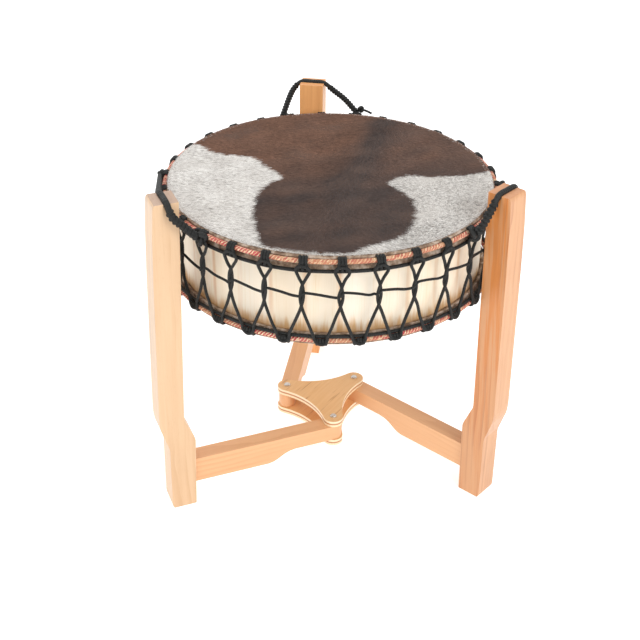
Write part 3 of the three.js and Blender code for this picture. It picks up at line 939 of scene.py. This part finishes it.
def spikes(name, roots, tips, widths, attributes, material):
    """Hairs: thin closed three-sided spikes from roots to tips."""
    count = len(roots)
    along = tips - roots
    side = np.cross(along, [0.0, 0.0, 1.0])
    side /= np.maximum(np.linalg.norm(side, axis=1), 1e-9)[:, None]
    up = unit(np.cross(side, along))
    half = widths[:, None] / 2
    points = np.stack([roots - side * half, roots + side * half, roots + up * half * 0.8, tips], axis=1)
    base = np.arange(count)[:, None] * 4
    faces = np.concatenate([base + [0, 1, 3], base + [1, 2, 3], base + [2, 0, 3], base + [0, 2, 1]], axis=1)
    values = {key: np.repeat(value, 4) for key, value in attributes.items()}
    points, faces = points.reshape(-1, 3), faces.reshape(-1, 3)
    piece = mesh_object(name, points, faces, material, smooth=False, attributes=values)


def scatter(count, radius):
    """Even places on a disc, in mm, on a sunflower spiral, shaken a little."""
    k = np.arange(count) + 0.5
    turn = k * math.pi * (3 - math.sqrt(5))
    places = (radius * np.sqrt(k / count))[:, None] * heading_of(turn)
    return places + RNG.normal(0, 0.5, places.shape)


def coat_shades(places):
    """For each hair of the coat: how white it is, its own lightness, and how far it darkens."""
    count = len(places)
    x, y = places.T
    white = coat(places, RNG.normal(0, 2.6, count))
    own = RNG.beta(2.0, 1.7, count) + 0.08 * soft_noise(places, 10, 31) + 0.08 * soft_noise(places, 70, 32)
    grey = 0.04 + 0.17 * np.clip((x + 20) / 150, 0, 1)
    grey += 0.16 * np.clip((x - 60) / 60, 0, 1) * np.clip((-150 - y) / 60, 0, 1)
    fleck = RNG.uniform(0, 1, count) < grey
    own = np.where(fleck & (white > 0.5), 0.02, np.clip(own, 0.12, 1))
    return {"white": white, "own": own, "dorsal": stripe_lobe_and_painted_shade(places)}


def coat_hair(material):
    """Short hair lying flat over the head, in two pieces. It is curly on the right, in front."""
    top = HEAD_TOP - 1.2 * MM
    for batch in range(2):
        places = scatter(HAIRS, 299.0 - batch)
        curly = np.clip((places[:, 0] - 90) / 60, 0, 1) * np.clip((60 - places[:, 1]) / 60, 0, 1)
        flow = unit(hair_flow(places) + RNG.normal(0, 1, (HAIRS, 2)) * (0.22 + 0.5 * curly[:, None]))
        length = RNG.uniform(6, 12, HAIRS) * (1 - 0.4 * curly)
        lift = RNG.uniform(0.3, 1.4, HAIRS)
        reach = np.linalg.norm(places + flow * length[:, None], axis=1)
        length = np.where(reach > coat_reach(places), length * 0.3, length)
        roots = over_head(places, top - 0.2 * MM)
        tips = over_head(places + flow * length[:, None], top + lift * MM)
        shades = coat_shades(places)
        widths = RNG.uniform(0.6, 1.1, HAIRS) * MM
        spikes(f"hair_{batch + 1}", roots, tips, widths, shades, material)


def fringe(material):
    """Hair that stands out past the coat's edge, all round, and falls over it."""
    count = FRINGE_HAIRS
    outward = heading_of(RNG.uniform(0, 2 * math.pi, count))
    edge = coat_reach(outward)
    radius = edge - RNG.uniform(0, 8, count)
    places = radius[:, None] * outward
    out = unit(outward + RNG.normal(0, 0.6, (count, 2)))
    length = np.minimum(RNG.uniform(3, 7, count), edge + 2.5 - radius)
    fall = np.interp(radius + length, [296, 304], [-0.6, 1.8]) + RNG.uniform(-0.8, 0.8, count)
    roots = over_head(places, HEAD_TOP - 1.6 * MM)
    tips = over_head(places + out * length[:, None], HEAD_TOP - (0.4 + fall) * MM)
    white = coat(places, RNG.normal(0, 1.6, count))
    white = np.where(RNG.uniform(0, 1, count) < 0.12, 1 - white, white)
    shades = {"white": white, "own": RNG.beta(2.2, 1.4, count), "dorsal": np.zeros(count)}
    spikes("hair_fringe", roots, tips, RNG.uniform(0.5, 1.0, count) * MM, shades, material)


HAIR = hair_material()
head_sheet()
rolled_edge("hide_edge_top", 1, TOP_EDGE)
rolled_edge("hide_edge_bottom", -1, BOTTOM_EDGE)
bottom_head()
coat_hair(HAIR)
fringe(HAIR)

# ---------------------------------------------------------------- the stand

# The wood of each leg, as stand_wood takes it, with painted reflection on one face of the left leg and
# painted shade on one face of the right leg.
LEG_WOODS = {
    "left": {
        "light": rgb(222, 187, 149),
        "dark": rgb(196, 150, 104),
        "figure": 0.5,
        # painted reflection: the outer face tinted cooler, for the white surround that it reflects
        "painted_face_light": (math.radians(SIDES["left"] + 180), (0.82, 0.87, 1.0, 1)),
        "ends": (0.62, 0.6, 0.68, 1),
    },
    "right": {
        "light": rgb(216, 164, 119),
        "dark": rgb(164, 96, 54),
        "figure": 0.55,
        "lean": 0.05,
        # partly darker wood, partly painted shade from the drum above: the front-left face tinted deeper
        # orange, more so higher up
        "painted_face_light": (math.radians(SIDES["right"] + 90), (1.06, 0.74, 0.36, 1)),
        "ends": (0.95, 0.85, 0.8, 1),
    },
    "back": {
        "light": rgb(242, 180, 116),
        "dark": rgb(200, 124, 66),
        "ends": (0.9, 0.85, 0.8, 1),
    },
}
ARM_WOOD = (rgb(232, 179, 130), rgb(202, 136, 86))  # light and dark


def round_edges(node, width):
    """Rounds the sharp edges of a CAD piece in the picture, with a modifier."""
    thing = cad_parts[node]
    bevel = thing.modifiers.new("round", "BEVEL")
    bevel.width = width
    bevel.segments = 3
    bevel.limit_method = "ANGLE"
    bevel.angle_limit = math.radians(32)
    thing.data.shade_smooth()
    thing.data.set_sharp_from_angle(angle=math.radians(40))


def finish_node(node, material):
    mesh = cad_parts[node].data
    mesh.materials.clear()
    mesh.materials.append(material)


def stand():
    """The stand is the CAD's own, with rounded edges and its materials."""
    for i, (side, heading) in enumerate(SIDES.items()):
        leg = stand_wood(f"leg_wood_{side}", pith=(0.31, 0.22 - 0.1 * i), seed=0.4 * i, **LEG_WOODS[side])
        finish_node(f"leg_{side}", leg)
        round_edges(f"leg_{side}", 2.2 * MM)
        arm = stand_wood(
            f"arm_wood_{side}", *ARM_WOOD, math.radians(heading), (0.2, 0.15), 0.7 * i, figure=0.4
        )
        finish_node(f"arm_{side}", arm)
        round_edges(f"arm_{side}", 1.6 * MM)
        finish_node(f"pivot_nut_{side}", NICKEL)
        finish_node(f"pivot_bolt_{side}", NICKEL)
        round_edges(f"pivot_bolt_{side}", 0.5 * MM)
    for node in ("hub_plate_top", "hub_plate_bottom"):
        low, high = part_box(node)
        finish_node(node, plywood(low.z, high.z))
        round_edges(node, 1.2 * MM)


stand()

# ---------------------------------------------------------------- the hanging loops

WHIP_START = 36 * MM  # from the middle of the leg's groove


def loop_rope(core, ends, knots, whipped, whip, cord, turn, bow=0.0):
    """What a hanging loop is made of, in mm: the rope's radius over the leg and at its ends, and its knots'.

    whipped says which ends are whipped, whip is the radius over the whipping, cord the cord's own and turn
    its rise in a turn. bow is how far the loop arches up.
    """
    return {
        "core": core * MM,
        "ends": [radius * MM for radius in ends],
        "knots": [radius * MM for radius in knots],
        "whipped": whipped,
        "whip": whip * MM,
        "cord": cord * MM,
        "turn": turn * MM,
        "bow": bow * MM,
    }


LOOPS_OF_ROPE = {
    "left": loop_rope(6.2, (5.2, 4.0), (4.4, 3.2), whipped=(0,), whip=8.0, cord=3.4, turn=7.4),
    "right": loop_rope(5.6, (4.0, 5.2), (3.2, 4.4), whipped=(1,), whip=7.8, cord=3.4, turn=7.4),
    "back": loop_rope(4.6, (4.0, 4.0), (2.6, 2.8), whipped=(0, 1), whip=6.6, cord=2.6, turn=6.0, bow=7),
}


def hanger_route(side):
    """The middle of a hanging loop: up from one knot, over the leg's groove and down to the other."""
    heading = math.radians(SIDES[side])
    inward = np.array([math.cos(heading), math.sin(heading), 0])
    across = np.array([-inward[1], inward[0], 0])
    bolt = np.array(middle(f"pivot_bolt_{side}"))
    groove = bolt - inward * (ARM_LENGTH + GROOVE_BACK)
    groove[2] = 0
    rope = LOOPS_OF_ROPE[side]
    first, last = (
        on_drum((322 if end in rope["whipped"] else 317) * MM, loop, RING_OFF + 2 * MM)
        for end, loop in enumerate(TIES[side])
    )
    edge = LEG_WIDTH / 2
    bow = np.array([0, 0, rope["bow"]])

    def over(off, z):
        return groove + across * off + np.array([0, 0, z])

    def beside(off, end, share, lift):
        return over(off, LEG_TOP - 14 * MM) * (1 - share) + end * share + bow * lift

    return [
        first,
        beside(-edge - 12 * MM, first, 0.55, 1.0),
        beside(-edge - 12 * MM, first, 0.12, 0.7),
        over(-edge + 1 * MM, LEG_TOP - 0.5 * MM),
        over(0, LEG_TOP + 0.4 * MM),
        over(edge - 1 * MM, LEG_TOP - 0.5 * MM),
        beside(edge + 12 * MM, last, 0.12, 0.7),
        beside(edge + 12 * MM, last, 0.55, 1.0),
        last,
    ]


def hanging_loops():
    """The rope over each leg, tapering to its two ends, with its whipping and its knots on the ring."""
    for side, rope in LOOPS_OF_ROPE.items():
        parts = Parts()
        knots = hanger_route(side)
        path = curve_through(knots, 1.8 * MM)
        along = distances(path)
        top = along[np.argmin(np.linalg.norm(path - knots[4], axis=1))]
        size = np.interp(along, [0, top, along[-1]], [rope["ends"][0], rope["core"], rope["ends"][1]])
        tube(parts, path, size, 12)
        for end in rope["whipped"]:
            reach = (0, top - WHIP_START) if end == 0 else (top + WHIP_START, along[-1])
            whip(parts, path, along, reach, rope)
        for end, loop in enumerate(TIES[side]):
            end_knot(parts, loop, rope["knots"][end])
        if side == "back":
            loose_tail(parts, TIES[side][1])
        piece = parts.build(f"hanging_rope_{side}", ROPE_SKIN)
        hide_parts(f"hanging_loop_{side}")


def whip(parts, path, along, reach, rope):
    """Turns of cord wound tight round a rope, between two distances along it."""
    across, up = frames_along(path, False)
    places = np.arange(reach[0], reach[1], rope["turn"] / 14)
    core, first, second = (at_distances(places, along, values) for values in (path, across, up))
    angle = (places / rope["turn"] * 2 * math.pi)[:, None]
    around = rope["whip"] - rope["cord"]
    tube(parts, core, rope["whip"] - 0.6 * rope["cord"], 12)
    coil = core + around * (first * np.cos(angle) + second * np.sin(angle))
    tube(parts, coil, rope["cord"], 8)


def end_knot(parts, loop, size):
    """A round knot of rope on the ring at a loop: a trefoil, drawn tight."""
    angle = FIRST_LOOP + loop * PITCH
    out = np.array([math.cos(angle), math.sin(angle), 0])
    side = np.array([-out[1], out[0], 0])
    centre = on_drum(315 * MM, loop, RING_OFF)
    points = []
    for t in np.linspace(0, 2 * math.pi, 24, endpoint=False):
        x = (math.sin(t) + 2 * math.sin(2 * t)) * size
        y = (math.cos(t) - 2 * math.cos(2 * t)) * size
        z = -math.sin(3 * t) * size
        points.append(centre + side * x + np.array([0, 0, y]) + out * z)
    tube(parts, curve_through(points, 2.5 * MM, closed=True), size, 8, closed=True)


def loose_tail(parts, loop):
    """A stopper knot above the rim, and the rope's loose end beyond it."""
    centre = on_drum(320 * MM, loop - 0.1, RING_OFF + 13 * MM)
    points = []
    for t in np.linspace(0, 5.4, 8):
        points.append(centre + 4.2 * MM * np.array([math.cos(t), 0.6 * math.sin(2 * t), math.sin(t)]))
    tube(parts, curve_through(points, 1.5 * MM, closed=True), 3.2 * MM, 8, closed=True)
    end = on_drum(316 * MM, loop - 0.46, RING_OFF + 8 * MM)
    tube(parts, curve_through([centre, (centre + end) / 2 + [0, 0, 1.2 * MM], end], 2 * MM), 2.3 * MM, 8)


hanging_loops()
